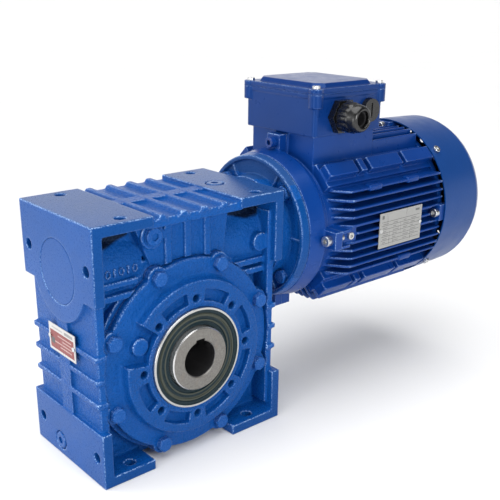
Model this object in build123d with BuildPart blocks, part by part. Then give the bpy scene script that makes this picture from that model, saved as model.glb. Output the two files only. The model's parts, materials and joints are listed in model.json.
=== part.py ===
from build123d import *
import os
from math import atan, cos, pi, radians, sin, sqrt, tan

# Worm gearbox with a flange-mounted three-phase motor, millimetres.
# Origin: centre of the hollow output shaft. +Y runs along the output shaft,
# +X along the worm towards the motor, +Z up.

# ---- Driving dimensions ----------------------------------------------------
centre_distance = 110.0
worm_starts = 1
wheel_teeth = 30
gear_module = 5.5
gear_backlash = 0.5

case_half_length = 127.0
case_half_width = 76.0
case_top = 174.5
case_base = -120.5
wall_thickness = 12.0
pocket_floor = 40.0          # |y| of the web behind the corner pockets
collar_face = 52.0           # |y| of the machined seats of the two covers

output_bore_radius = 21.0
output_key_width = 12.0
output_key_depth = 3.3
output_shaft_radius = 37.5
output_shaft_half_length = 81.0

cover_bolt_circle = 109.0
flange_face = 75.0           # |y| of the machined output flanges
flange_hole_circle = 71.2
flange_hole_radius = 5.1     # M12 threaded holes, drawn at their core radius
foot_hole_radius = 6.0
foot_hole_x = 86.0
foot_hole_y = 61.0

motor_shaft_radius = 14.0
motor_shaft_length = 60.0
motor_face = 157.5           # x of the joint between input flange and motor
frame_start, frame_end = 190.0, 394.0
frame_radius = 88.0
fin_reach = 105.0
fin_pitch = 10.4
fin_thickness = 3.2
corner_radius = 112.0        # how far from the motor axis the outermost fins may reach
cowl_radius = 111.7
cowl_end = 480.0

# ---- Derived dimensions ----------------------------------------------------
wheel_pitch_radius = gear_module * wheel_teeth / 2
worm_pitch_radius = centre_distance - wheel_pitch_radius
worm_lead = pi * gear_module * worm_starts
lead_slope = worm_lead / (2 * pi * worm_pitch_radius)
worm_origin = (0, 0, centre_distance)
worm_axis = Axis(worm_origin, (1, 0, 0))
quarter_turns = (45, 135, 225, 315)
square_turns = (0, 90, 180, 270)
eighth_turns = tuple(range(0, 360, 45))

os.makedirs("parts", exist_ok=True)


# ---- Shared builders -------------------------------------------------------
def slab(x_limits, y_limits, z_limits, mode=Mode.ADD):
    """Box between two limits on each axis, joined to the part being built."""
    limits = (x_limits, y_limits, z_limits)
    with Locations(tuple((low + high) / 2 for low, high in limits)):
        Box(*(high - low for low, high in limits), mode=mode)


def rod_x(radius, x_limits, y=0.0, z=centre_distance, mode=Mode.ADD):
    """Cylinder along X between two limits."""
    low, high = x_limits
    with Locations(Location(((low + high) / 2, y, z), (0, 90, 0))):
        Cylinder(radius, high - low, mode=mode)


def rod_y(radius, y_limits, x=0.0, z=0.0, mode=Mode.ADD):
    """Cylinder along Y between two limits."""
    low, high = y_limits
    with Locations(Location((x, (low + high) / 2, z), (90, 0, 0))):
        Cylinder(radius, high - low, mode=mode)


def rod_z(radius, z_limits, x=0.0, y=0.0, mode=Mode.ADD):
    """Cylinder along Z between two limits."""
    low, high = z_limits
    with Locations((x, y, (low + high) / 2)):
        Cylinder(radius, high - low, mode=mode)


def turn_about_worm(outline, mode=Mode.ADD):
    """Solid of revolution about the worm axis from (x, radius) points."""
    with BuildSketch(Plane(worm_origin, x_dir=(1, 0, 0), z_dir=(0, -1, 0))) as profile:
        with BuildLine():
            Polyline(*outline, close=True)
        make_face()
    revolve(profile.sketch, axis=worm_axis, mode=mode)


def turn_about_output(outline, mode=Mode.ADD):
    """Solid of revolution about the output axis from (radius, y) points."""
    with BuildSketch(Plane.XY) as profile:
        with BuildLine():
            Polyline(*outline, close=True)
        make_face()
    revolve(profile.sketch, axis=Axis.Y, mode=mode)


def around_worm(radius, angle, x=0.0):
    """Frame at an angle about the worm axis: 0 faces -Y, 90 faces +Z; its Z points at -X."""
    turn = radians(angle)
    place = (x, -radius * cos(turn), centre_distance + radius * sin(turn))
    return Plane(place, x_dir=(0, -cos(turn), sin(turn)), z_dir=(-1, 0, 0))


def around_output(radius, angle):
    """(x, z) of a point at an angle about the output axis."""
    turn = radians(angle)
    return radius * cos(turn), radius * sin(turn)


def ridge(x, y_limits, z_limits, foot, crest):
    """Ridge along Y whose sides slope in from half width foot to half width crest."""
    low, high = y_limits
    base, top = z_limits
    with BuildSketch(Plane.XZ.offset(-high)) as section:
        with BuildLine():
            Polyline((x - foot, base), (x + foot, base), (x + crest, top), (x - crest, top), close=True)
        make_face()
    extrude(section.sketch, amount=high - low)


def rods_around_output(radius, circle, angles, y_limits, mode=Mode.ADD):
    """Rods along Y at several angles on a circle about the output axis."""
    for angle in angles:
        x, z = around_output(circle, angle)
        rod_y(radius, y_limits, x=x, z=z, mode=mode)


def rods_around_worm(radius, circle, angles, x_limits, mode=Mode.ADD):
    """Rods along X at several angles on a circle about the worm axis."""
    for angle in angles:
        spot = around_worm(circle, angle).origin
        rod_x(radius, x_limits, y=spot.Y, z=spot.Z, mode=mode)


def outward_from_output(circle, angle, side, y):
    """Frame on a circle about the output axis, its Z pointing out of that side of the case."""
    x, z = around_output(circle, angle)
    return Plane((x, side * y, z), x_dir=(x, 0, z), z_dir=(0, side, 0))


def outward_from_worm(radius, angle, x, side=1):
    """Frame at an angle about the worm axis, its Z pointing outwards, or inwards with side -1."""
    turn = radians(angle)
    out = (0, -side * cos(turn), side * sin(turn))
    return Plane(around_worm(radius, angle, x).origin, x_dir=(1, 0, 0), z_dir=out)


def hex_bolt(across_flats, head_height, shank_radius, shank_length):
    """Hex bolt along +Z with the seat of its head at the origin."""
    corner_radius = across_flats / sqrt(3)
    with BuildPart() as bolt:
        Cylinder(corner_radius, head_height, align=(Align.CENTER, Align.CENTER, Align.MIN))
        chamfer(bolt.edges().group_by(Axis.Z)[-1], head_height * 0.18, head_height * 0.30)
        with BuildSketch():
            RegularPolygon(across_flats / 2, 6, major_radius=False)
        extrude(amount=head_height, mode=Mode.INTERSECT)
        with BuildSketch():
            Circle(shank_radius)
        extrude(amount=-shank_length)
    return bolt.part


def cap_screw(head_radius, head_height, socket_across, shank_radius, shank_length):
    """Socket screw along +Z with the seat of its head at the origin."""
    with BuildPart() as screw:
        Cylinder(head_radius, head_height, align=(Align.CENTER, Align.CENTER, Align.MIN))
        chamfer(screw.edges().group_by(Axis.Z)[-1], head_radius * 0.1)
        with BuildSketch(Plane.XY.offset(head_height)):
            RegularPolygon(socket_across / 2, 6, major_radius=False)
        extrude(amount=-head_height * 0.55, mode=Mode.SUBTRACT)
        with BuildSketch():
            Circle(shank_radius)
        extrude(amount=-shank_length)
    return screw.part


def copies(shape, places):
    """The same shape at several places, as separate solids of one part."""
    with BuildPart() as group:
        with Locations(*(p.location if isinstance(p, Plane) else p for p in places)):
            add(shape)
    return group


def save(piece, name):
    """Label a finished piece and write it to its STEP file."""
    piece.part.label = name
    export_step(piece.part, f"parts/{name}.step")


# ---- Gear housing ----------------------------------------------------------
bulge_radius = 55.5
left_bearing_radius = 36.0
right_bearing_radius = 40.0
tunnel_radius = 35.0
collar_radius = 119.0
spigot_radius = 98.0
neck_radius = 64.0
neck_end = 134.0
cover_bolt_turns = [22.5 + 45 * k for k in range(8)]
cover_rim_radius = 114.0
cover_lug_radius = 12.5
front_plug_place = (-44.0, 147.0)
bulge_rib_heights = {-1: (103.0, 89.0), 1: (90.0, 78.0)}
bulge_boss_place = (104.0, 113.0)
cover_clearance = 0.6
top_plug_x = 85.0
drain_place = (20.0, -102.0)
plug_radius = 8.0
plug_seat = 58.0             # |y| of the seats of the side plugs
top_hole_x = (-85.0, 95.0)
side_hole_heights = (126.0, -87.0)
side_wall_x = 122.0          # |x| of the walls between the upper and lower pads
input_screw_circle = 53.0
label_y, label_z = (-28.0, 29.0), (13.0, 45.0)
label_seat = -125.8

with BuildPart() as gear_housing:
    # web behind the pockets, floor, top plate and the two end walls
    slab((-117, 117), (-pocket_floor, pocket_floor), (case_base + 4, 168))
    slab((-side_wall_x, side_wall_x), (-66, 66), (-100, 150))
    slab((-112, 112), (-70, 70), (-101, 151), mode=Mode.SUBTRACT)
    slab((-112, 112), (-pocket_floor, pocket_floor), (-112, 160))
    for lower, upper in ((90.0, case_top), (case_base, -55.0)):
        for side in (-1, 1):
            outer, inner = side * case_half_length, side * (case_half_length - wall_thickness)
            slab(sorted((outer, inner)), (-case_half_width, case_half_width), (lower, upper))
    for outer, inner in ((-case_half_length, -54.0), (case_half_length, 62.0)):
        slab(
            sorted((outer, inner)),
            (-case_half_width, case_half_width),
            (case_top - wall_thickness, case_top),
        )
    slab((-60, 66), (-73, 73), (160, 169.5))
    for outer, inner in ((-case_half_length, -61.0), (case_half_length, 52.0)):
        slab(
            sorted((outer, inner)),
            (-case_half_width, case_half_width),
            (case_base, case_base + wall_thickness),
        )
    # ribs across the lowered middle of the top plate, and its spine
    slab((-56, 64), (-9, 9), (168, 173))
    for x in (-42.0, -14.5, 13.0, 40.5):
        ridge(x, (-74.5, 74.5), (167, 173.4), 8.0, 3.0)
    # ribs and spine on the end walls
    for side in (-1, 1):
        slab(sorted((side * 112, side * 125.5)), (-11, 11), (-60, 60))
        for z in (30.0, 3.0, -24.0):
            slab(sorted((side * 112, side * 125.8)), (-68, 68), (z - 3, z + 3))
    # collar round each cover, with a lug behind each cover bolt
    rod_y(collar_radius, (-collar_face, collar_face))
    rods_around_output(13.5, cover_bolt_circle, cover_bolt_turns, (-collar_face, collar_face))
    # block over the worm, its ends leaning in towards the foot, with upright ribs on both faces
    with BuildSketch(Plane.XZ.offset(-54)) as block:
        with BuildLine():
            Polyline((-66, 163), (62, 163), (53, 95), (-45, 95), (-45, 112), close=True)
        make_face()
    extrude(block.sketch, amount=108)
    for x in (-24.0, 2.0, 29.0):
        slab((x - 4.5, x + 4.5), (-58, 58), (95, 163))
    rod_y(14.5, (-plug_seat, plug_seat), x=front_plug_place[0], z=front_plug_place[1])
    # bulges round the worm bearings and ribs under them
    for side in (-1, 1):
        turn_about_worm([(side * 124, 0), (side * 124, 57), (side * 52, 50), (side * 52, 0)])
        for z in bulge_rib_heights[side]:
            slab(sorted((side * 64, side * 118)), (-59, 59), (z - 3.5, z + 3.5))
    rod_y(11.0, (-63, 63), x=bulge_boss_place[0], z=bulge_boss_place[1])
    rod_x(bulge_radius, (-case_half_length, -112))
    # input neck with its fillet-like shoulder
    turn_about_worm(
        [(115, 0), (115, 72), (127, 68), (131, neck_radius), (neck_end, neck_radius), (neck_end, 0)]
    )
    # room for the rim and the bolt lugs of each cover
    for reach in ((-90, -collar_face), (collar_face, 90)):
        room = cover_lug_radius + cover_clearance
        rod_y(cover_rim_radius + cover_clearance, reach, mode=Mode.SUBTRACT)
        rods_around_output(room, cover_bolt_circle, cover_bolt_turns, reach, mode=Mode.SUBTRACT)
    # flat machined base and top
    slab((-200, 200), (-200, 200), (case_base - 40, case_base), mode=Mode.SUBTRACT)
    slab((-200, 200), (-200, 200), (case_top, case_top + 40), mode=Mode.SUBTRACT)
    slab((-50, 50), (-80, 80), (case_base, case_base + 3), mode=Mode.SUBTRACT)

    # wheel chamber, oil sump and the chamber over the worm
    rod_y(spigot_radius, (-collar_face, collar_face), mode=Mode.SUBTRACT)
    slab((-95, 95), (-30, 30), (-107, -60), mode=Mode.SUBTRACT)
    slab((-41, 48), (-42, 42), (70, 153), mode=Mode.SUBTRACT)
    # worm tunnel and its two bearing seats
    rod_x(left_bearing_radius, (-case_half_length - 1, -96), mode=Mode.SUBTRACT)
    rod_x(31.0, (-97, -87), mode=Mode.SUBTRACT)
    rod_x(tunnel_radius, (-88, 99), mode=Mode.SUBTRACT)
    rod_x(right_bearing_radius, (98, neck_end + 1), mode=Mode.SUBTRACT)
    rod_x(left_bearing_radius + 2, (-115.6, -113.2), mode=Mode.SUBTRACT)
    rod_x(right_bearing_radius + 2, (116.2, 118.8), mode=Mode.SUBTRACT)

    # threaded holes: covers, feet, top, ends and input flange
    for depth in ((-collar_face - 1, -collar_face + 20), (collar_face - 20, collar_face + 1)):
        rods_around_output(5.0, cover_bolt_circle, cover_bolt_turns, depth, mode=Mode.SUBTRACT)
    for y in (-foot_hole_y, foot_hole_y):
        for x in (-foot_hole_x, foot_hole_x):
            rod_z(foot_hole_radius, (case_base - 1, case_base + 20), x=x, y=y, mode=Mode.SUBTRACT)
        for x in top_hole_x:
            rod_z(foot_hole_radius, (case_top - 20, case_top + 1), x=x, y=y, mode=Mode.SUBTRACT)
        for z in side_hole_heights:
            depth = (-case_half_length - 1, -case_half_length + 20)
            rod_x(foot_hole_radius, depth, y=y, z=z, mode=Mode.SUBTRACT)
    rods_around_worm(
        4.0, input_screw_circle, square_turns, (neck_end - 18, neck_end + 1), mode=Mode.SUBTRACT
    )
    for y in (label_y[0] + 3, label_y[1] - 3):
        rod_x(1.5, (-127, -122), y=y, z=sum(label_z) / 2, mode=Mode.SUBTRACT)
    # oil plug holes and their spot faces
    x, z = front_plug_place
    rod_y(plug_radius, (-70, -41), x=x, z=z, mode=Mode.SUBTRACT)
    rod_y(plug_radius, (41, 70), x=x, z=z, mode=Mode.SUBTRACT)
    rod_z(11.5, (case_top - 4, case_top + 1), x=top_plug_x, mode=Mode.SUBTRACT)
    rod_z(plug_radius, (142, case_top), x=top_plug_x, mode=Mode.SUBTRACT)
    y, z = drain_place
    rod_x(11.5, (-case_half_length - 1, -case_half_length + 4), y=y, z=z, mode=Mode.SUBTRACT)
    rod_x(plug_radius, (-case_half_length, -94), y=y, z=z, mode=Mode.SUBTRACT)
save(gear_housing, "gear_housing")

# ---- Output covers, gaskets, bolts and seals -------------------------------
gasket_thickness = 0.5
cover_seat = collar_face + gasket_thickness
cover_rim_face = 62.5
bearing_75_radius = 57.5
bearing_75_limits = (46.5, 66.5)
seal_radius = 60.0
seal_limits = (67.5, 77.0)
flange_outer_radius = 91.0
flange_inner_radius = 62.5
open_sector = (141.0, 172.0)
blind_boss_circle = 78.0     # of the round boss in each cover's open sector


def cover_profile(side):
    """(radius, y) outline of a cover, with side -1 for front and 1 for rear."""
    outline = [
        (bearing_75_radius, bearing_75_limits[0] - 1),
        (spigot_radius - 0.1, bearing_75_limits[0] - 1),
        (spigot_radius - 0.1, cover_seat),
        (cover_rim_radius, cover_seat),
        (cover_rim_radius, cover_rim_face - 1.5),
        (cover_rim_radius - 1.5, cover_rim_face),
        (flange_outer_radius + 4, cover_rim_face),
        (flange_outer_radius + 1.5, cover_rim_face + 3),
        (flange_outer_radius, flange_face - 1),
        (flange_outer_radius - 1, flange_face),
        (flange_inner_radius + 1, flange_face),
        (flange_inner_radius, flange_face - 1),
        (seal_radius, flange_face - 1),
        (seal_radius, bearing_75_limits[1]),
        (bearing_75_radius, bearing_75_limits[1]),
    ]
    return [(radius, side * y) for radius, y in outline]


def sector(inner, outer, start, end, y_limits, mode):
    """Curved block between two radii and two angles about the output axis."""
    low, high = y_limits
    with BuildSketch(Plane.XZ.offset(-low)) as area:
        with BuildLine():
            outer_arc = CenterArc((0, 0), outer, start, end - start)
            inner_arc = CenterArc((0, 0), inner, start, end - start)
            Line(outer_arc @ 0, inner_arc @ 0)
            Line(outer_arc @ 1, inner_arc @ 1)
        make_face()
    extrude(area.sketch, amount=-(high - low), mode=mode)


def build_cover(side):
    """Output cover with its threaded flange ring, side -1 for front and 1 for rear."""
    rim = sorted((side * cover_seat, side * cover_rim_face))
    outward = sorted((side * (cover_rim_face + 0.1), side * 90))
    boss = sorted((side * 60, side * 70))
    pocket = sorted((side * (flange_face - 9), side * 90))
    hole = sorted((side * (flange_face - 18), side * 90))
    through = sorted((side * 45, side * 90))
    with BuildPart() as cover:
        turn_about_output(cover_profile(side))
        rods_around_output(cover_lug_radius, cover_bolt_circle, cover_bolt_turns, rim)
        sector(66.0, 120.0, *open_sector, outward, Mode.SUBTRACT)
        for middle in cover_bolt_turns:
            if not open_sector[0] < middle < open_sector[1]:
                sector(66.5, 80.5, middle - 13.5, middle + 13.5, pocket, Mode.SUBTRACT)
        rods_around_output(10.0, blind_boss_circle, [sum(open_sector) / 2], boss)
        rods_around_output(
            flange_hole_radius, flange_hole_circle, eighth_turns, hole, mode=Mode.SUBTRACT
        )
        rods_around_output(5.5, cover_bolt_circle, cover_bolt_turns, through, mode=Mode.SUBTRACT)
    return cover


def build_gasket(side):
    """Paper gasket between a cover and the housing collar."""
    low, high = sorted((side * collar_face, side * cover_seat))
    through = (low - 1, high + 1)
    with BuildPart() as gasket:
        rod_y(cover_rim_radius, (low, high))
        rods_around_output(cover_lug_radius, cover_bolt_circle, cover_bolt_turns, (low, high))
        rods_around_output(5.5, cover_bolt_circle, cover_bolt_turns, through, mode=Mode.SUBTRACT)
        rod_y(spigot_radius, through, mode=Mode.SUBTRACT)
    return gasket


def build_output_seal(side):
    """Rotary seal: pressed steel case round a stepped rubber body with a dust lip."""
    back, front = seal_limits
    outline = [
        (output_shaft_radius + 0.06, back),
        (seal_radius, back),
        (seal_radius, front - 0.6),
        (seal_radius - 0.6, front),
        (seal_radius - 2.6, front),
        (seal_radius - 3.4, front - 1.6),
        (53.0, front - 1.6),
        (52.4, front - 0.8),
        (49.4, front - 0.8),
        (48.8, front - 2.0),
        (44.0, front - 2.4),
        (40.2, front - 1.2),
        (output_shaft_radius + 0.06, front - 1.2),
    ]
    with BuildPart() as seal:
        turn_about_output([(radius, side * y) for radius, y in outline])
    return seal


cover_bolt = hex_bolt(16.0, 7.0, 5.0, 26.0)
for side, name in ((-1, "front"), (1, "rear")):
    save(build_cover(side), f"output_cover_{name}")
    save(build_gasket(side), f"cover_gasket_{name}")
    save(build_output_seal(side), f"output_seal_{name}")
    seats = [
        outward_from_output(cover_bolt_circle, angle, side, cover_rim_face)
        for angle in cover_bolt_turns
    ]
    save(copies(cover_bolt, seats), f"cover_bolts_{name}")

# ---- Worm end cap, circlips, input seal and oil plugs ----------------------
with BuildPart() as worm_end_cap:
    turn_about_worm(
        [
            (-126.6, 0),
            (-126.6, left_bearing_radius - 0.8),
            (-125.8, left_bearing_radius),
            (-119, left_bearing_radius),
            (-119, 33),
            (-124, 32),
            (-124, 0),
        ]
    )
save(worm_end_cap, "worm_end_cap")


def circlip(groove_radius, inner_radius, x_limits):
    """Internal circlip in a housing groove, open at the bottom."""
    low, high = x_limits
    turn_about_worm(
        [(low, inner_radius), (high, inner_radius), (high, groove_radius), (low, groove_radius)]
    )
    gap_low = centre_distance - groove_radius - 1
    slab((low - 1, high + 1), (-7, 7), (gap_low, centre_distance - inner_radius + 4), mode=Mode.SUBTRACT)


with BuildPart() as worm_bearing_circlips:
    circlip(left_bearing_radius + 2, left_bearing_radius - 3, (-115.4, -113.2))
    circlip(right_bearing_radius + 2, right_bearing_radius - 3, (116.2, 118.6))
save(worm_bearing_circlips, "worm_bearing_circlips")

worm_journal_radius = 20.0
with BuildPart() as input_seal:
    turn_about_worm(
        [
            (121, right_bearing_radius),
            (130.5, right_bearing_radius),
            (131, right_bearing_radius - 0.5),
            (131, 37.5),
            (124, 36.5),
            (124, 24),
            (129.5, 22),
            (129.5, worm_journal_radius + 0.06),
            (121, worm_journal_radius + 0.06),
        ]
    )
save(input_seal, "input_seal")

plug_screw = cap_screw(10.0, 3.0, 8.0, plug_radius, 12.0)
washer_thickness = 1.5
plug_seats = (
    Plane((front_plug_place[0], -plug_seat - washer_thickness, front_plug_place[1]), z_dir=(0, -1, 0)),
    Plane((front_plug_place[0], plug_seat + washer_thickness, front_plug_place[1]), z_dir=(0, 1, 0)),
    Plane((top_plug_x, 0, case_top - 4 + washer_thickness), z_dir=(0, 0, 1)),
    Plane((-case_half_length + 4 - washer_thickness, *drain_place), z_dir=(-1, 0, 0)),
)
save(copies(plug_screw, plug_seats), "oil_plugs")
with BuildPart() as washer:
    Cylinder(11.2, washer_thickness, align=(Align.CENTER, Align.CENTER, Align.MAX))
    Cylinder(plug_radius, 10, mode=Mode.SUBTRACT)
save(copies(washer.part, plug_seats), "oil_plug_washers")

# ---- Output shaft, worm wheel and their bearings ---------------------------
wheel_half_width = 22.0
web_radius = 70.0
rim_screw_circle = 64.5
with BuildPart() as hollow_output_shaft:
    end, seat, hub = output_shaft_half_length, bearing_75_limits[0], 24.0
    turn_about_output(
        [
            (output_bore_radius, -end + 1.5),
            (output_bore_radius + 1.5, -end),
            (output_shaft_radius - 1.5, -end),
            (output_shaft_radius, -end + 1.5),
            (output_shaft_radius, -seat),
            (42.5, -seat),
            (42.5, -hub),
            (54, -hub),
            (56, -9),
            (web_radius, -9),
            (web_radius, 9),
            (56, 9),
            (54, hub),
            (42.5, hub),
            (42.5, seat),
            (output_shaft_radius, seat),
            (output_shaft_radius, end - 1.5),
            (output_shaft_radius - 1.5, end),
            (output_bore_radius + 1.5, end),
            (output_bore_radius, end - 1.5),
        ]
    )
    slab(
        (-output_key_width / 2, output_key_width / 2),
        (-end - 1, end + 1),
        (0, output_bore_radius + output_key_depth),
        mode=Mode.SUBTRACT,
    )
    rods_around_output(4.0, rim_screw_circle, eighth_turns, (-12, 12), mode=Mode.SUBTRACT)
save(hollow_output_shaft, "hollow_output_shaft")


def tooth_outline(lean):
    """Points of one wheel tooth about angle lean, wide at the root and narrow at the tip."""
    half_pitch_width = (pi * gear_module / 2 - gear_backlash) / 2
    rows = (
        (wheel_pitch_radius - 1.5 * gear_module, half_pitch_width + 1.1),
        (wheel_pitch_radius - 0.9 * gear_module, half_pitch_width + 0.9),
        (wheel_pitch_radius, half_pitch_width),
        (wheel_pitch_radius + gear_module, half_pitch_width - 2.3),
    )
    left = [(r * sin(lean - w / r), r * cos(lean - w / r)) for r, w in rows]
    right = [(r * sin(lean + w / r), r * cos(lean + w / r)) for r, w in reversed(rows)]
    return left + right


half_lean = atan(wheel_half_width * lead_slope / wheel_pitch_radius)
with BuildPart() as wheel_tooth:
    for side in (-1, 1):
        with BuildSketch(Plane.XZ.offset(-side * wheel_half_width)):
            with BuildLine():
                Polyline(*tooth_outline(side * half_lean), close=True)
            make_face()
    loft(ruled=True)

with BuildPart() as worm_wheel_rim:
    root = wheel_pitch_radius - 1.2 * gear_module
    turn_about_output(
        [
            (web_radius, -wheel_half_width + 1),
            (root, -wheel_half_width + 1),
            (root, wheel_half_width - 1),
            (59, wheel_half_width - 1),
            (59, 9),
            (web_radius, 9),
        ]
    )
    for k in range(wheel_teeth):
        add(wheel_tooth.part.rotate(Axis.Y, 360 / wheel_teeth * (k + 0.5)))
    rods_around_output(4.2, rim_screw_circle, eighth_turns, (8, 30), mode=Mode.SUBTRACT)
save(worm_wheel_rim, "worm_wheel_rim")

rim_seats = [
    outward_from_output(rim_screw_circle, angle, 1, wheel_half_width - 1) for angle in eighth_turns
]
save(copies(hex_bolt(13.0, 5.3, 4.0, 24.0), rim_seats), "wheel_rim_screws")


def race(inner, outer, width, groove_centre, groove_radius):
    """Bearing ring about Z, centred on its width, with the ball groove cut in."""
    with BuildPart() as ring:
        Cylinder(outer, width)
        Cylinder(inner, width, mode=Mode.SUBTRACT)
        with BuildSketch(Plane.XZ):
            with Locations((groove_centre, 0)):
                Circle(groove_radius)
        revolve(axis=Axis.Z, mode=Mode.SUBTRACT)
    return ring.part


def ball_set(pitch_radius, ball_radius, count):
    """Balls and their cage about Z, with a small gap between cage and balls."""
    with BuildPart() as cage:
        Cylinder(pitch_radius + 1.2, ball_radius * 2.6)
        Cylinder(pitch_radius - 1.2, ball_radius * 2.6, mode=Mode.SUBTRACT)
        with PolarLocations(pitch_radius, count):
            Cylinder(ball_radius + 0.2, 4.0, rotation=(0, 90, 0), mode=Mode.SUBTRACT)
    with BuildPart() as balls:
        with PolarLocations(pitch_radius, count):
            Sphere(ball_radius)
    return [cage.part] + list(balls.part.solids())


def bearing_shapes(bore, outer, width, ball_radius, count):
    """Inner race, outer race and ball set of a deep groove ball bearing about Z."""
    pitch_radius = (bore + outer) / 2
    land = ball_radius * 0.55
    inner = race(bore, pitch_radius - land, width, pitch_radius, ball_radius + 0.25)
    outer_race = race(pitch_radius + land, outer, width, pitch_radius, ball_radius + 0.25)
    return inner, outer_race, ball_set(pitch_radius, ball_radius, count)


def save_bearings(prefix, bearings):
    """Write the inner races, outer races and ball sets of several bearings as three nodes."""
    placed = ([], [], [])
    for shapes, plane in bearings:
        for group, shape in zip(placed, shapes):
            for piece in shape if isinstance(shape, list) else [shape]:
                group.append(piece.moved(plane.location))
    for group, suffix in zip(placed, ("inner_races", "outer_races", "ball_sets")):
        with BuildPart() as pieces:
            for piece in group:
                add(piece)
        save(pieces, f"{prefix}_{suffix}")


output_bearing = bearing_shapes(output_shaft_radius, bearing_75_radius, 20.0, 6.2, 14)
middle = sum(bearing_75_limits) / 2
save_bearings(
    "output_bearing",
    [(output_bearing, Plane((0, side * middle, 0), z_dir=(0, side, 0))) for side in (-1, 1)],
)

# ---- Worm shaft ------------------------------------------------------------
worm_root_radius = worm_pitch_radius - 1.2 * gear_module
worm_tip_radius = worm_pitch_radius + gear_module
thread_turns = 5
thread_plane = Plane(
    (-thread_turns / 2 * worm_lead, 0, centre_distance), x_dir=(0, 0, 1), z_dir=(1, 0, 0)
)
key_half_width = 4.0
key_top = 17.3
shaft_tip = motor_face - motor_shaft_length

with BuildPart() as worm_thread:
    with BuildLine() as thread_path:
        Helix(worm_lead, thread_turns * worm_lead, worm_root_radius)
    start = thread_path.line @ 0
    with BuildSketch(Plane(start, x_dir=(1, 0, 0), z_dir=thread_path.line % 0)):
        tip = (pi * gear_module / 2 - gear_backlash) / 2 - gear_module * tan(radians(20))
        base = tip + (2.2 * gear_module + 1.5) * tan(radians(20))
        with BuildLine():
            Polyline(
                (-1.5, -base),
                (worm_tip_radius - worm_root_radius, -tip),
                (worm_tip_radius - worm_root_radius, tip),
                (-1.5, base),
                close=True,
            )
        make_face()
    sweep(path=thread_path.line, is_frenet=True)

with BuildPart() as worm_shaft:
    turn_about_worm(
        [
            (-112, 0),
            (-112, 16.5),
            (-111, 17.5),
            (-96, 17.5),
            (-96, 20.9),
            (-50, 20.9),
            (-48, worm_root_radius),
            (48, worm_root_radius),
            (50, 24),
            (98, 24),
            (98, worm_journal_radius),
            (147, worm_journal_radius),
            (148, worm_journal_radius - 1),
            (148, 0),
        ]
    )
    add(worm_thread.part.moved(thread_plane.location))
    rod_x(motor_shaft_radius + 0.02, (shaft_tip - 3, 149), mode=Mode.SUBTRACT)
    slab(
        (shaft_tip + 4, 149),
        (-key_half_width, key_half_width),
        (centre_distance, centre_distance + key_top),
        mode=Mode.SUBTRACT,
    )
save(worm_shaft, "worm_shaft")

bearing_35 = bearing_shapes(17.5, left_bearing_radius, 17.0, 5.5, 9)
bearing_40 = bearing_shapes(worm_journal_radius, right_bearing_radius, 18.0, 6.2, 9)
save_bearings(
    "worm_bearing",
    [
        (bearing_35, Plane((-104.5, 0, centre_distance), z_dir=(1, 0, 0))),
        (bearing_40, Plane((107, 0, centre_distance), z_dir=(1, 0, 0))),
    ],
)

# ---- Input flange between gearbox and motor --------------------------------
motor_bolt_circle = 74.5
motor_bolt_seat = 150.5
register_radius = 65.0
with BuildPart() as input_flange:
    turn_about_worm(
        [
            (neck_end, 42),
            (neck_end, 65),
            (motor_bolt_seat, 66),
            (motor_bolt_seat, 83.5),
            (145.6, 84.5),
            (145.6, 88.7),
            (146.4, 89.5),
            (motor_face - 0.8, 91),
            (motor_face - 0.8, 90),
            (motor_face, 90),
            (motor_face, register_radius),
            (motor_face - 4, register_radius),
            (motor_face - 4, 42),
        ]
    )
    for k in range(6):
        spot = around_worm(0, 60 * k)
        with BuildSketch(spot) as rib:
            with Locations((75, 0)):
                Rectangle(22, 3)
        extrude(rib.sketch.moved(Location((151, 0, 0))), amount=3.6)
    cut = Mode.SUBTRACT
    rods_around_worm(5.5, motor_bolt_circle, quarter_turns, (140, 170), mode=cut)
    rods_around_worm(9.8, motor_bolt_circle, quarter_turns, (140, motor_bolt_seat), mode=cut)
    rods_around_worm(4.5, input_screw_circle, square_turns, (130, 170), mode=cut)
    rods_around_worm(7.5, input_screw_circle, square_turns, (motor_face - 13, 170), mode=cut)
save(input_flange, "input_flange")


def facing_motor(radius, angle, x):
    """Frame about the worm axis with its Z towards the motor."""
    plane = around_worm(radius, angle, x)
    return Plane(plane.origin, x_dir=plane.x_dir, z_dir=(1, 0, 0))


save(
    copies(
        cap_screw(6.5, 8.0, 6.0, 4.0, 24.0),
        [facing_motor(input_screw_circle, angle, motor_face - 13) for angle in square_turns],
    ),
    "input_flange_screws",
)
save(
    copies(
        hex_bolt(16.0, 6.4, 5.0, 16.0),
        [around_worm(motor_bolt_circle, angle, motor_bolt_seat) for angle in quarter_turns],
    ),
    "motor_bolts",
)

# ---- Motor end shields and frame -------------------------------------------
stator_bore_radius = 80.0
motor_bearing_radius = 36.0
shield_bolt_circle = 103.0
lug_half_width = 11.0
drive_bearing_limits = (164.0, 183.0)
rear_bearing_limits = (386.0, 405.0)


def radial_block(radii, half_width, x_limits, angle, mode=Mode.ADD):
    """Block standing out from the motor axis at an angle, between two radii."""
    low, high = x_limits
    plane = around_worm(0, angle, high)
    with BuildSketch(plane) as area:
        with Locations(((radii[0] + radii[1]) / 2, 0)):
            Rectangle(radii[1] - radii[0], 2 * half_width)
    extrude(area.sketch, amount=high - low, mode=mode)


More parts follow.
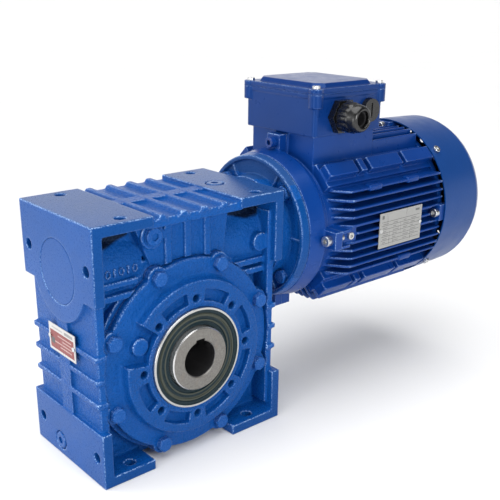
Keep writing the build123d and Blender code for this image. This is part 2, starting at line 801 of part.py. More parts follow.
with BuildPart() as drive_end_shield:
    turn_about_worm(
        [
            (motor_face - 3.6, 38),
            (motor_face - 3.6, register_radius - 0.1),
            (motor_face, register_radius - 0.1),
            (motor_face, 91.2),
            (180, 95),
            (182, 94),
            (185, 90),
            (frame_start, 90),
            (frame_start, stator_bore_radius - 0.1),
            (frame_start + 4, stator_bore_radius - 0.1),
            (frame_start + 4, 74),
            (168, 74),
            (168, 44),
            (drive_bearing_limits[1] + 2, 43),
            (drive_bearing_limits[1] + 2, motor_bearing_radius),
            (drive_bearing_limits[0], motor_bearing_radius),
            (drive_bearing_limits[0], 20),
            (161, 20),
            (161, 38),
        ]
    )
    for angle in square_turns:
        radial_block((86, 113), lug_half_width, (178, frame_start), angle)
    rods_around_worm(4.5, shield_bolt_circle, square_turns, (170, 200), mode=Mode.SUBTRACT)
    rods_around_worm(5.0, motor_bolt_circle, quarter_turns, (150, 167.5), mode=Mode.SUBTRACT)
save(drive_end_shield, "drive_end_shield")


def cooling_fin(plane, offset, side, axis_height):
    """One fin on a plane that holds the motor's length, at an offset from the motor axis."""
    root = axis_height + side * (sqrt(frame_radius**2 - offset**2) - 3)
    reach = min(fin_reach, sqrt(corner_radius**2 - offset**2))
    shoulder, tip = axis_height + side * (reach - 4), axis_height + side * reach
    with BuildSketch(plane) as fin:
        with BuildLine():
            Polyline(
                (frame_start + 5, root),
                (frame_start + 22, shoulder),
                (frame_start + 27, tip),
                (frame_end, tip),
                (frame_end, root),
                close=True,
            )
        make_face()
    extrude(fin.sketch, amount=fin_thickness)


box_neck = ((193.0, 301.0), (-55.0, 55.0), 225.5)
neck_screw_x = (box_neck[0][0] + 5, box_neck[0][1] - 5)
neck_screw_y = (-49.0, 49.0)
rail_spans = ((195, 246), (252, 262), (270, 331), (338, frame_end))
nut_notch = (371.0, 386.0)
earth_screw_x = 213.0
with BuildPart() as motor_frame:
    rod_x(frame_radius, (frame_start, frame_end))
    # side fins, one outline repeated at each height, and fins above and below
    for k in range(-5, 6):
        offset = k * fin_pitch
        for side in (-1, 1):
            side_fin = Plane.XY.offset(centre_distance + offset - fin_thickness / 2)
            cooling_fin(side_fin, offset, side, 0.0)
            cooling_fin(Plane.XZ.offset(-offset - fin_thickness / 2), offset, side, centre_distance)
    # corner rails, broken into pads
    for angle in quarter_turns:
        radial_block((84, 100), 17, (frame_start + 4, frame_end), angle)
        for span in rail_spans:
            radial_block((84, 111), 9, span, angle)
    # lugs for the end shields, and the notches that clear the rear screws
    for angle in square_turns:
        radial_block((84, 113), lug_half_width, (frame_start, frame_start + 14), angle)
        radial_block((89, 125), 10, nut_notch, angle, mode=Mode.SUBTRACT)
        radial_block((84, 109), lug_half_width, (nut_notch[1], frame_end), angle)
    # earth pad and terminal box neck
    slab((frame_start + 2, 225), (-103, -84), (103, 117))
    slab((frame_start, 226), (-116, -103), (102, 118), mode=Mode.SUBTRACT)
    slab(*box_neck[:2], (150, box_neck[2]))
    slab((205, 289), (-44, 44), (185, 240), mode=Mode.SUBTRACT)
    rod_x(stator_bore_radius, (frame_start - 1, frame_end + 1), mode=Mode.SUBTRACT)
    slab((206, 224), (-20, 20), (170, 200), mode=Mode.SUBTRACT)
    cut = Mode.SUBTRACT
    front_depth = (frame_start - 1, frame_start + 12)
    rods_around_worm(4.0, shield_bolt_circle, square_turns, front_depth, mode=cut)
    rods_around_worm(
        4.5, shield_bolt_circle, square_turns, (nut_notch[1] - 1, frame_end + 1), mode=cut
    )
    rod_y(2.5, (-104, -92), x=earth_screw_x, z=centre_distance, mode=cut)
    for x in neck_screw_x:
        for y in neck_screw_y:
            rod_z(2.5, (box_neck[2] - 12, box_neck[2] + 1), x=x, y=y, mode=cut)
save(motor_frame, "motor_frame")

rear_lug_span = (frame_end, 412.0)
cowl_screw_x = 406.0
with BuildPart() as rear_end_shield:
    turn_about_worm(
        [
            (frame_end - 4, 74),
            (frame_end - 4, stator_bore_radius - 0.1),
            (frame_end, stator_bore_radius - 0.1),
            (frame_end, 100),
            (402, 100),
            (404, 97),
            (404, 48),
            (411, 46),
            (411, 17),
            (408, 17),
            (408, motor_bearing_radius),
            (384, motor_bearing_radius),
            (384, 46),
            (396, 50),
            (396, 74),
        ]
    )
    for angle in square_turns:
        radial_block((95, 109), lug_half_width, (frame_end, 404), angle)
    rods_around_worm(4.0, shield_bolt_circle, square_turns, (390, 402), mode=Mode.SUBTRACT)
    for angle in quarter_turns:
        radial_block((90, 108.4), 8, rear_lug_span, angle)
        with BuildSketch(outward_from_worm(112, angle, cowl_screw_x, side=-1)) as hole:
            Circle(2.5)
        extrude(hole.sketch, amount=14, mode=Mode.SUBTRACT)
save(rear_end_shield, "rear_end_shield")

save(
    copies(
        cap_screw(6.5, 8.0, 6.0, 4.0, 22.0),
        [around_worm(shield_bolt_circle, angle, 178) for angle in square_turns],
    ),
    "drive_end_screws",
)
save(
    copies(
        cap_screw(6.0, 7.0, 6.0, 4.0, 14.0),
        [around_worm(shield_bolt_circle, angle, nut_notch[1]) for angle in square_turns],
    ),
    "rear_end_screws",
)

# ---- Stator, rotor, motor shaft and motor bearings -------------------------
core_limits = (228.0, 338.0)
air_gap = 0.6
rotor_radius = 48.0
slot_count = 24


def slot_bars(grow, x_limits, mode=Mode.ADD):
    """The ring of winding slots, as bars between two x limits."""
    low, high = x_limits
    with BuildSketch(Plane((low, 0, centre_distance), x_dir=(0, 1, 0), z_dir=(1, 0, 0))) as bars:
        with PolarLocations(60, slot_count):
            Rectangle(14 + 2 * grow, 6 + 2 * grow)
    extrude(bars.sketch, amount=high - low, mode=mode)


with BuildPart() as stator_core:
    rod_x(stator_bore_radius, core_limits)
    rod_x(rotor_radius + air_gap, core_limits, mode=Mode.SUBTRACT)
    slot_bars(0.2, core_limits, mode=Mode.SUBTRACT)
save(stator_core, "stator_core")

with BuildPart() as stator_windings:
    for core_side, bevel, end in ((227.0, 210.0, 206.0), (339.0, 356.0, 360.0)):
        turn_about_worm(
            [(core_side, 51), (core_side, 73), (bevel, 73), (end, 69), (end, 55), (bevel, 51)]
        )
    slot_bars(0.0, (224.0, 342.0))
save(stator_windings, "stator_windings")

with BuildPart() as rotor_core:
    turn_about_worm([(228, 20), (228, rotor_radius), (338, rotor_radius), (338, 20)])
    for low, high in ((218.0, 228.0), (338.0, 348.0)):
        turn_about_worm([(low, 32), (high, 32), (high, 46), (low, 46)])
    for k in range(8):
        radial_block((33, 45), 2.0, (210, 220), 45 * k)
        radial_block((33, 45), 2.0, (346, 356), 45 * k)
save(rotor_core, "rotor_core")

fan_seat = (413.0, 452.0)
fan_clip_limits = (447.0, 448.4)
key_span = (102.0, 142.0)
key_floor = 120.0
with BuildPart() as motor_shaft:
    turn_about_worm(
        [
            (shaft_tip, 0),
            (shaft_tip, motor_shaft_radius - 1),
            (shaft_tip + 1, motor_shaft_radius),
            (motor_face, motor_shaft_radius),
            (motor_face, 15),
            (drive_bearing_limits[1], 15),
            (drive_bearing_limits[1], 18),
            (205, 18),
            (205, 20),
            (360, 20),
            (360, 18),
            (rear_bearing_limits[0], 18),
            (rear_bearing_limits[0], 15),
            (408, 15),
            (408, 12),
            (fan_seat[1], 12),
            (fan_seat[1], 0),
        ]
    )
    slab(key_span, (-key_half_width, key_half_width), (key_floor, 130), mode=Mode.SUBTRACT)
    low, high = fan_clip_limits
    turn_about_worm([(low, 11), (high, 11), (high, 13), (low, 13)], mode=Mode.SUBTRACT)
save(motor_shaft, "motor_shaft")

with BuildPart() as shaft_key:
    slab(key_span, (-key_half_width, key_half_width), (key_floor, centre_distance + key_top - 0.2))
save(shaft_key, "shaft_key")

bearing_30 = bearing_shapes(15.0, motor_bearing_radius, 19.0, 5.8, 8)
save_bearings(
    "motor_bearing",
    [
        (bearing_30, Plane((sum(limits) / 2, 0, centre_distance), z_dir=(1, 0, 0)))
        for limits in (drive_bearing_limits, rear_bearing_limits)
    ],
)

with BuildPart() as wave_washer:
    turn_about_worm([(405.2, 29), (407.8, 29), (407.8, 35.5), (405.2, 35.5)])
save(wave_washer, "wave_washer")

# ---- Fan, circlip and cowl --------------------------------------------------
with BuildPart() as cooling_fan:
    turn_about_worm(
        [
            (fan_seat[0], 12),
            (fan_seat[0], 30),
            (417, 34),
            (417, 92),
            (420, 92),
            (420, 34),
            (424, 20),
            (446, 18),
            (446, 12),
        ]
    )
    for k in range(8):
        radial_block((17, 92), 1.5, (418, 444), 45 * k + 10)
save(cooling_fan, "cooling_fan")

with BuildPart() as fan_circlip:
    low, high = fan_clip_limits
    turn_about_worm([(low, 11), (high, 11), (high, 15.5), (low, 15.5)])
    slab((446, 449), (-3, 3), (centre_distance - 16, centre_distance - 9), mode=Mode.SUBTRACT)
save(fan_circlip, "fan_circlip")

cowl_front = 395.0
cowl_wall = 1.8
with BuildPart() as fan_cowl:
    back_radius = cowl_radius - 2.0
    turn_about_worm(
        [
            (cowl_front, cowl_radius - cowl_wall),
            (cowl_front, cowl_radius),
            (cowl_end - 10, back_radius),
            (cowl_end - 3, back_radius - 3),
            (cowl_end, back_radius - 10),
            (cowl_end, 0),
            (cowl_end - cowl_wall, 0),
            (cowl_end - cowl_wall, back_radius - 11),
            (cowl_end - 5, back_radius - 4),
            (cowl_end - 11, back_radius - cowl_wall),
        ]
    )
    # rear grille: rings of slots
    grille_plane = Plane((cowl_end + 1, 0, centre_distance), x_dir=(0, 1, 0), z_dir=(1, 0, 0))
    for radius, count in ((27.0, 8), (43.0, 12), (59.0, 16), (75.0, 20), (90.0, 24)):
        with BuildSketch(grille_plane) as slots:
            with PolarLocations(radius, count):
                SlotOverall(11, 7.5)
        extrude(slots.sketch, amount=-8, mode=Mode.SUBTRACT)
    for angle in quarter_turns:
        with BuildSketch(outward_from_worm(116, angle, cowl_screw_x, side=-1)) as hole:
            Circle(2.8)
        extrude(hole.sketch, amount=9, mode=Mode.SUBTRACT)
save(fan_cowl, "fan_cowl")

cowl_screw_seats = [
    outward_from_worm(cowl_radius + 0.1, angle, cowl_screw_x) for angle in quarter_turns
]
save(copies(cap_screw(5.0, 3.2, 4.0, 2.5, 12.0), cowl_screw_seats), "cowl_screws")

# ---- Terminal box -----------------------------------------------------------
box_x, box_y = (187.0, 307.0), (-62.0, 62.0)
box_floor, box_top = box_neck[2], 275.5
lid_seat, lid_edge, lid_top = 276.5, 282.0, 287.0
lid_screw_x, lid_screw_y = (191.0, 303.0), (-58.0, 58.0)
gland_x, gland_z = 230.0, 248.0
blank_x, blank_z = 281.0, 251.0


def ears(z_limits):
    """Rounded corner ears that take the lid screws."""
    for x in lid_screw_x:
        for y in lid_screw_y:
            rod_z(8.5, z_limits, x=x, y=y)


def lid_screw_holes(radius, z_limits):
    """Holes for the four lid screws."""
    for x in lid_screw_x:
        for y in lid_screw_y:
            rod_z(radius, z_limits, x=x, y=y, mode=Mode.SUBTRACT)


with BuildPart() as terminal_box_body:
    slab(box_x, box_y, (box_floor, box_top))
    fillet(terminal_box_body.edges().filter_by(Axis.Z), 5)
    slab((box_x[0] - 1, box_x[1] + 1), (box_y[0] - 1, box_y[1] + 1), (box_top - 5, box_top))
    ears((box_top - 16, box_top))
    slab((191.5, 302.5), (-57.5, 57.5), (box_floor + 4, box_top + 1), mode=Mode.SUBTRACT)
    ears_inside = 7.0
    for x in (lid_screw_x[0] + 3, lid_screw_x[1] - 3):
        for y in (lid_screw_y[0] + 3, lid_screw_y[1] - 3):
            rod_z(ears_inside, (box_floor + 3, box_top), x=x, y=y)
    slab((210, 284), (-38, 38), (box_floor - 1, box_floor + 5), mode=Mode.SUBTRACT)
    lid_screw_holes(2.5, (box_top - 20, box_top + 1))
    for x in neck_screw_x:
        for y in neck_screw_y:
            rod_z(3.0, (box_floor - 1, box_top + 1), x=x, y=y, mode=Mode.SUBTRACT)
            rod_z(5.4, (box_floor + 4, box_top + 1), x=x, y=y, mode=Mode.SUBTRACT)
    rod_y(16.0, (-64, -50), x=gland_x, z=gland_z, mode=Mode.SUBTRACT)
    rod_y(12.5, (-64, -50), x=blank_x, z=blank_z, mode=Mode.SUBTRACT)
save(terminal_box_body, "terminal_box_body")

with BuildPart() as terminal_box_gasket:
    slab((box_x[0] - 1, box_x[1] + 1), (box_y[0] - 1, box_y[1] + 1), (box_top, lid_seat))
    ears((box_top, lid_seat))
    slab((199, 295), (-50, 50), (box_top - 1, lid_seat + 1), mode=Mode.SUBTRACT)
    lid_screw_holes(2.6, (box_top - 1, lid_seat + 1))
save(terminal_box_gasket, "terminal_box_gasket")

with BuildPart() as terminal_box_lid:
    slab((box_x[0] - 2, box_x[1] + 2), (box_y[0] - 2, box_y[1] + 2), (lid_seat, lid_edge))
    ears((lid_seat, lid_edge))
    with BuildSketch(Plane.XY.offset(lid_edge)) as plateau_foot:
        with Locations((sum(box_x) / 2, 0)):
            Rectangle(104, 116)
        chamfer(plateau_foot.vertices(), 12)
    extrude(amount=lid_top - lid_edge, taper=38)
    slab((199, 295), (-50, 50), (lid_seat - 1, lid_edge - 1.5), mode=Mode.SUBTRACT)
    lid_screw_holes(2.9, (lid_seat - 1, lid_top + 1))
save(terminal_box_lid, "terminal_box_lid")

lid_screw_seats = [Plane((x, y, lid_edge)) for x in lid_screw_x for y in lid_screw_y]
save(copies(cap_screw(4.8, 3.2, 4.0, 2.5, 16.0), lid_screw_seats), "lid_screws")
neck_screw_seats = [Plane((x, y, box_floor + 4)) for x in neck_screw_x for y in neck_screw_y]
save(copies(cap_screw(4.8, 4.0, 4.0, 2.5, 14.0), neck_screw_seats), "box_screws")

block_x, block_y, block_z = (215.0, 279.0), (-20.0, 20.0), (242.0, 252.0)
stud_places = [(x, y) for x in (227.0, 247.0, 267.0) for y in (-11.0, 11.0)]
with BuildPart() as terminal_block:
    slab(block_x, block_y, block_z)
    for x in (217.5, 276.5):
        slab((x - 2.5, x + 2.5), (-40, 40), (box_floor + 4, block_z[0] + 3))
    for x in (237.0, 257.0):
        slab((x - 1, x + 1), block_y, (block_z[1], block_z[1] + 6))
    for x, y in stud_places:
        rod_z(2.5, (block_z[0] - 1, block_z[1] + 1), x=x, y=y, mode=Mode.SUBTRACT)
save(terminal_block, "terminal_block")

with BuildPart() as terminal_studs:
    for x, y in stud_places:
        rod_z(2.5, (block_z[0], block_z[1] + 13), x=x, y=y)
    for x, y in stud_places:
        with BuildSketch(Plane.XY.offset(block_z[1])) as nut:
            with Locations((x, y)):
                RegularPolygon(4.0, 6, major_radius=False)
        extrude(nut.sketch, amount=4)
    for x in (227.0, 247.0, 267.0):
        slab((x - 4, x + 4), (-15, 15), (block_z[1] + 4, block_z[1] + 5.5))
save(terminal_studs, "terminal_studs")

# ---- Cable gland and blanking plug -----------------------------------------
gland_plane = Plane((gland_x, box_y[0], gland_z), x_dir=(1, 0, 0), z_dir=(0, -1, 0))
with BuildPart() as cable_gland_body:
    with BuildSketch(gland_plane) as flange:
        RegularPolygon(19.0, 6, major_radius=False)
    extrude(flange.sketch, amount=9)
    rod_y(16.0, (-62, -54), x=gland_x, z=gland_z)
    rod_y(15.0, (-82, -70), x=gland_x, z=gland_z)
    rod_y(18.0, (-57.5, -52.5), x=gland_x, z=gland_z)
    rod_y(11.5, (-90, -50), x=gland_x, z=gland_z, mode=Mode.SUBTRACT)
save(cable_gland_body, "cable_gland_body")

with BuildPart() as cable_gland_seal:
    rod_y(11.4, (-94, -72), x=gland_x, z=gland_z)
    rod_y(8.5, (-95, -70), x=gland_x, z=gland_z, mode=Mode.SUBTRACT)
save(cable_gland_seal, "cable_gland_seal")

with BuildPart() as cable_gland_nut:
    with BuildSketch(gland_plane.offset(9.5)) as body:
        RegularPolygon(18.5, 12, major_radius=False)
    extrude(body.sketch, amount=14)
    with BuildSketch(gland_plane.offset(23.5)) as dome:
        Circle(18.2)
    extrude(dome.sketch, amount=14.5, taper=12)
    rod_y(15.1, (-86, -70), x=gland_x, z=gland_z, mode=Mode.SUBTRACT)
    rod_y(11.6, (-95, -85), x=gland_x, z=gland_z, mode=Mode.SUBTRACT)
    rod_y(9.8, (-101, -94), x=gland_x, z=gland_z, mode=Mode.SUBTRACT)
save(cable_gland_nut, "cable_gland_nut")

with BuildPart() as blanking_plug:
    with BuildSketch(Plane((blank_x, box_y[0], blank_z), x_dir=(1, 0, 0), z_dir=(0, -1, 0))):
        Circle(15.0)
    extrude(amount=6, taper=8)
    rod_y(12.5, (-62, -54), x=blank_x, z=blank_z)
    slab((blank_x - 1.2, blank_x + 1.2), (-69, -65.5), (blank_z - 9, blank_z + 9), mode=Mode.SUBTRACT)
save(blanking_plug, "blanking_plug")

# ---- Plates, rivets and earth screw ----------------------------------------
with BuildPart() as gear_label_plate:
    slab((label_seat - 0.8, label_seat), label_y, label_z)
    for y in (label_y[0] + 3, label_y[1] - 3):
        rod_x(1.5, (-128, -125), y=y, z=sum(label_z) / 2, mode=Mode.SUBTRACT)
save(gear_label_plate, "gear_label_plate")

plate_x, plate_z = (266.0, 350.0), (82.0, 128.0)
with BuildPart() as motor_nameplate:
    slab(plate_x, (-fin_reach - 0.9, -fin_reach), plate_z)
    for x in (plate_x[0] + 3, plate_x[1] - 3):
        rod_y(1.5, (-107, -104), x=x, z=sum(plate_z) / 2, mode=Mode.SUBTRACT)
save(motor_nameplate, "motor_nameplate")

with BuildPart() as plate_rivets:
    for y in (label_y[0] + 3, label_y[1] - 3):
        rod_x(1.5, (-127, -122), y=y, z=sum(label_z) / 2)
        rod_x(2.6, (label_seat - 2.0, label_seat - 0.8), y=y, z=sum(label_z) / 2)
    for x in (plate_x[0] + 3, plate_x[1] - 3):
        rod_y(1.5, (-106, -103.5), x=x, z=sum(plate_z) / 2)
        rod_y(2.6, (-107, -105.9), x=x, z=sum(plate_z) / 2)
save(plate_rivets, "plate_rivets")

earth_screw_seat = Plane((earth_screw_x, -103, centre_distance), z_dir=(0, -1, 0))
save(copies(cap_screw(4.6, 4.0, 4.0, 2.5, 9.0), [earth_screw_seat]), "earth_screw")
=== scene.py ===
"""Looks of the worm gearbox and its motor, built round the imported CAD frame, in metres."""

import json
import math

import bmesh
import bpy
from mathutils import Matrix, Quaternion, Vector


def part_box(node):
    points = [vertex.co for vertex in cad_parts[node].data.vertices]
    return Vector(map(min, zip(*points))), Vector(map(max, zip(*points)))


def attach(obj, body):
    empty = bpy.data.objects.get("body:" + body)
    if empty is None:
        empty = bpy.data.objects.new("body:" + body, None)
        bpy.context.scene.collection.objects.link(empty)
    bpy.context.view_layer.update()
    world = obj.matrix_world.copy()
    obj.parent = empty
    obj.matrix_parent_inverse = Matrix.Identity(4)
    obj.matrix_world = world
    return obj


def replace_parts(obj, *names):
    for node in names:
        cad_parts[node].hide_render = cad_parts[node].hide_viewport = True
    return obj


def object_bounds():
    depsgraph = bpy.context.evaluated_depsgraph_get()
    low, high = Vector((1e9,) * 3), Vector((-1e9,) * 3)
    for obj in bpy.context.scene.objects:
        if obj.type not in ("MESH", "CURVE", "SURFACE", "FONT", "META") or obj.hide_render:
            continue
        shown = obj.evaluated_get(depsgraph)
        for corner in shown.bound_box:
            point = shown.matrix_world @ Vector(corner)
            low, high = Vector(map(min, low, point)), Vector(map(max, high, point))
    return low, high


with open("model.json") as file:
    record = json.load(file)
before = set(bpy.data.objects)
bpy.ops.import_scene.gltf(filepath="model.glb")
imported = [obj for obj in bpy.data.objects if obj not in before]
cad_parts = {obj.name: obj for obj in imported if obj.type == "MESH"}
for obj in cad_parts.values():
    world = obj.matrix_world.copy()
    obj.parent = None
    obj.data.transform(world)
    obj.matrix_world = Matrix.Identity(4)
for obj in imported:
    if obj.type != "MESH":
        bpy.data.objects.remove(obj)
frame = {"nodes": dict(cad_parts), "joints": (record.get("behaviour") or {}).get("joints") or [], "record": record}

cad_low, cad_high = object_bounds()
slot_of_node = {part["node"]: part["material_slot"] for part in frame["record"]["subparts"]}

# ---- Places worked out from the frame ---------------------------------------
mounts = {mount["name"]: mount for mount in frame["record"]["mounts"]}
worm_height = next(j["pos_m"][2] for j in frame["joints"] if j["name"] == "worm_spin")
case_low, case_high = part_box("gear_housing")
bore_radius = mounts["output_bore"]["dims"]["r_mm"] / 1000
output_flange = mounts["output_flange_front"]
flange_face = abs(output_flange["pos_m"][1])
flange_radius = 0.0985
shaft_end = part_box("hollow_output_shaft")[1].y
shaft_radius = 0.0375
case_top = case_high.z
case_left = case_low.x
case_front = case_low.y

# ---- Sizes that the finishes share ---------------------------------------------
face_depth = 0.0006            # how far below a machined face its finish reaches
lit_side = (-0.45, -0.30, 0.84)   # way that the edges with painted highlights face, up and to the front left


# ---- Camera -----------------------------------------------------------------
def add_camera():
    """Long lens in front of the left corner, looking a little down."""
    azimuth, elevation, roll = (math.radians(angle) for angle in (-41.318, 20.447, 0.82))
    aim_point = Vector((0.144016, 0.0, 0.031381))
    distance = 1.031455
    back = Vector(
        (
            math.sin(azimuth) * math.cos(elevation),
            -math.cos(azimuth) * math.cos(elevation),
            math.sin(elevation),
        )
    )
    data = bpy.data.cameras.new("camera")
    data.lens = 57.45
    data.sensor_width = 36.0
    data.shift_x, data.shift_y = -0.0012, 0.0704
    data.clip_end = 100.0
    camera = bpy.data.objects.new("camera", data)
    camera.rotation_mode = "QUATERNION"
    camera.location = aim_point + back * distance
    camera.rotation_quaternion = (-back).to_track_quat("-Z", "Y") @ Quaternion((0, 0, 1), roll)
    bpy.context.scene.collection.objects.link(camera)
    bpy.context.scene.camera = camera


# ---- Light and floor ---------------------------------------------------------
def add_softbox(name, place, aim, size, power):
    """Rectangular area light at a place, facing a point."""
    data = bpy.data.lights.new(name, "AREA")
    data.shape = "RECTANGLE"
    data.size, data.size_y = size
    data.energy = power
    light = bpy.data.objects.new(name, data)
    light.location = place
    light.rotation_mode = "QUATERNION"
    light.rotation_quaternion = (Vector(aim) - Vector(place)).to_track_quat("-Z", "Y")
    bpy.context.scene.collection.objects.link(light)


def add_world():
    """Pale band behind the object and at the horizon, and a darker sky above and on the camera's side."""
    world = bpy.data.worlds.new("studio")
    world.use_nodes = True
    tree = world.node_tree

    def link_math(operation, *values):
        node = tree.nodes.new("ShaderNodeMath")
        node.operation = operation
        for socket, value in zip(node.inputs, values):
            if isinstance(value, bpy.types.NodeSocket):
                tree.links.new(value, socket)
            else:
                socket.default_value = value
        return node.outputs[0]

    def ramp(value, low, high, new_low, new_high):
        node = tree.nodes.new("ShaderNodeMapRange")
        tree.links.new(value, node.inputs["Value"])
        for socket, setting in zip(list(node.inputs)[1:5], (low, high, new_low, new_high)):
            socket.default_value = setting
        return node.outputs[0]

    split = tree.nodes.new("ShaderNodeSeparateXYZ")
    tree.links.new(tree.nodes.new("ShaderNodeTexCoord").outputs["Generated"], split.inputs[0])
    across, away, up = split.outputs
    band = ramp(up, 0.28, 0.60, 1.28, 0.34)
    side = ramp(link_math("MULTIPLY_ADD", across, -0.5, away), -0.9, 0.4, 0.12, 1.0)
    horizon = ramp(up, 0.12, 0.20, 1.0, 0.0)
    strength = link_math("MAXIMUM", link_math("MULTIPLY", band, side), horizon)
    background = tree.nodes["Background"]
    background.inputs["Color"].default_value = (1.0, 1.0, 1.0, 1.0)
    tree.links.new(strength, background.inputs["Strength"])
    bpy.context.scene.world = world
    bpy.context.scene.view_settings.view_transform = "Standard"


def add_lights():
    """Even light from high above, and soft boxes at the left, in front and on the floor."""
    overhead = bpy.data.lights.new("overhead", "SUN")
    overhead.energy = 2.85
    overhead.angle = math.radians(70)
    light = bpy.data.objects.new("overhead", overhead)
    light.rotation_euler = (math.radians(4), math.radians(-8), 0)
    bpy.context.scene.collection.objects.link(light)
    add_softbox("key", (-1.1, -0.35, 0.16), (-0.12, 0.0, -0.04), (0.4, 0.5), 2.6)
    add_softbox("fill", (-0.02, -0.95, 0.42), (0.05, -0.07, 0.06), (0.35, 0.35), 4.3)
    add_softbox("floor_wash", (-0.60, 0.45, 0.35), (-0.50, 0.30, -0.12), (0.5, 0.5), 2.2)


def add_floor():
    """Pale floor that the base of the gearbox stands on, wide enough to reach the horizon."""
    half = 200.0
    mesh = bpy.data.meshes.new("floor")
    corners = [(-half, -half, 0), (half, -half, 0), (half, half, 0), (-half, half, 0)]
    mesh.from_pydata(corners, [], [(0, 1, 2, 3)])
    floor = bpy.data.objects.new("floor", mesh)
    floor.location = (0, 0, cad_low.z)
    bpy.context.scene.collection.objects.link(floor)
    surface = Surface("floor_white", {"Roughness": 0.9, "Specular IOR Level": 0.1})
    white = surface.spread(surface.noise(3.0), 0.3, 0.7, 0.80, 0.82)
    surface.feed_colour(surface.grey(white))
    mesh.materials.append(surface.material)


# ---- Material building -------------------------------------------------------
class Surface:
    """A material with one Principled shader, and short calls for the nodes that feed it."""

    def __init__(self, name, sockets):
        self.material = bpy.data.materials.new(name)
        self.material.use_nodes = True
        self.tree = self.material.node_tree
        self.shader = self.tree.nodes["Principled BSDF"]
        self.place = self.add("ShaderNodeTexCoord").outputs["Object"]
        split = self.add("ShaderNodeSeparateXYZ")
        self.tree.links.new(self.place, split.inputs[0])
        self.x, self.y, self.z = split.outputs
        for socket, value in sockets.items():
            self.shader.inputs[socket].default_value = value

    def add(self, kind, **settings):
        """New node with some of its settings."""
        node = self.tree.nodes.new(kind)
        for key, value in settings.items():
            setattr(node, key, value)
        return node

    def feed(self, socket, value):
        """Link a socket to a node's output, or set it to a plain value."""
        if isinstance(value, bpy.types.NodeSocket):
            self.tree.links.new(value, socket)
        else:
            socket.default_value = value

    def math(self, operation, *values):
        """Result of a Math node."""
        node = self.add("ShaderNodeMath", operation=operation)
        for socket, value in zip(node.inputs, values):
            self.feed(socket, value)
        return node.outputs[0]

    def noise(self, scale, detail=2.0, stretch=(1.0, 1.0, 1.0)):
        """Noise over the object, with a number of cells per metre, that a stretch can draw out."""
        mapping = self.add("ShaderNodeMapping")
        self.tree.links.new(self.place, mapping.inputs["Vector"])
        mapping.inputs["Scale"].default_value = stretch
        node = self.add("ShaderNodeTexNoise")
        self.tree.links.new(mapping.outputs[0], node.inputs["Vector"])
        node.inputs["Scale"].default_value = scale
        node.inputs["Detail"].default_value = detail
        return node.outputs["Fac"]

    def spread(self, value, low, high, new_low=0.0, new_high=1.0):
        """A value's range from low to high, stretched to a new range and held inside it."""
        node = self.add("ShaderNodeMapRange")
        for socket, setting in zip(node.inputs, (value, low, high, new_low, new_high)):
            self.feed(socket, setting)
        return node.outputs[0]

    def pick(self, mask, off, on):
        """One number where a mask is 0 and another where it is 1."""
        return self.spread(mask, 0.0, 1.0, off, on)

    def product(self, first, *others):
        """Values multiplied together."""
        for other in others:
            first = self.math("MULTIPLY", first, other)
        return first

    def blend(self, amount, first, second):
        """Colour between two colours."""
        node = self.add("ShaderNodeMix", data_type="RGBA")
        self.feed(node.inputs["Factor"], amount)
        for socket, colour in ((node.inputs[6], first), (node.inputs[7], second)):
            self.feed(socket, opaque(colour))
        return node.outputs[2]

    def grey(self, value):
        """Grey colour with that value in each channel."""
        node = self.add("ShaderNodeCombineColor")
        for socket in node.inputs:
            self.feed(socket, value)
        return node.outputs[0]

    def radius_about(self, first, second, centre=(0.0, 0.0)):
        """Distance from an axis, from the two coordinates across it."""
        a = self.math("SUBTRACT", first, centre[0])
        b = self.math("SUBTRACT", second, centre[1])
        squares = self.math("ADD", self.math("MULTIPLY", a, a), self.math("MULTIPLY", b, b))
        return self.math("SQRT", squares)

    def edges(self, low, high):
        """1 on sharp outer edges and 0 on flat ground."""
        return self.spread(self.add("ShaderNodeNewGeometry").outputs["Pointiness"], low, high)

    def facing(self, direction, low, high):
        """1 where the surface faces a direction of the object and 0 where it faces away."""
        dot = self.add("ShaderNodeVectorMath", operation="DOT_PRODUCT")
        self.tree.links.new(self.add("ShaderNodeTexCoord").outputs["Normal"], dot.inputs[0])
        dot.inputs[1].default_value = direction
        return self.spread(dot.outputs["Value"], low, high)

    def feed_colour(self, value):
        self.feed(self.shader.inputs["Base Color"], opaque(value))

    def feed_roughness(self, value):
        self.feed(self.shader.inputs["Roughness"], value)

    def relief(self, layers, round_edges=0.0):
        """Bump from (height, distance, strength) layers, over edges that look rounded."""
        normal = None
        if round_edges:
            bevel = self.add("ShaderNodeBevel", samples=6)
            bevel.inputs["Radius"].default_value = round_edges
            normal = bevel.outputs[0]
        for height, distance, strength in layers:
            bump = self.add("ShaderNodeBump")
            self.feed(bump.inputs["Height"], height)
            bump.inputs["Distance"].default_value = distance
            self.feed(bump.inputs["Strength"], strength)
            if normal:
                self.tree.links.new(normal, bump.inputs["Normal"])
            normal = bump.outputs[0]
        self.tree.links.new(normal, self.shader.inputs["Normal"])


def opaque(colour):
    """Colour with an alpha of one, unless it is already a node's output."""
    return colour if isinstance(colour, bpy.types.NodeSocket) else (*colour, 1.0)


def shade(colour, factor):
    """The same colour, lighter or darker."""
    return tuple(channel * factor for channel in colour)


# ---- Paints -------------------------------------------------------------------
gear_blue = (0.003, 0.064, 0.270)
motor_blue = (0.002, 0.036, 0.205)
cowl_blue = (0.002, 0.042, 0.195)
# Pale blue of the worn edges and of the painted edge highlights.
wear_glint_blue = (0.40, 0.58, 0.88)
glaze_tint = (0.28, 0.50, 1.0, 1.0)
zinc_grey = (0.66, 0.67, 0.68)


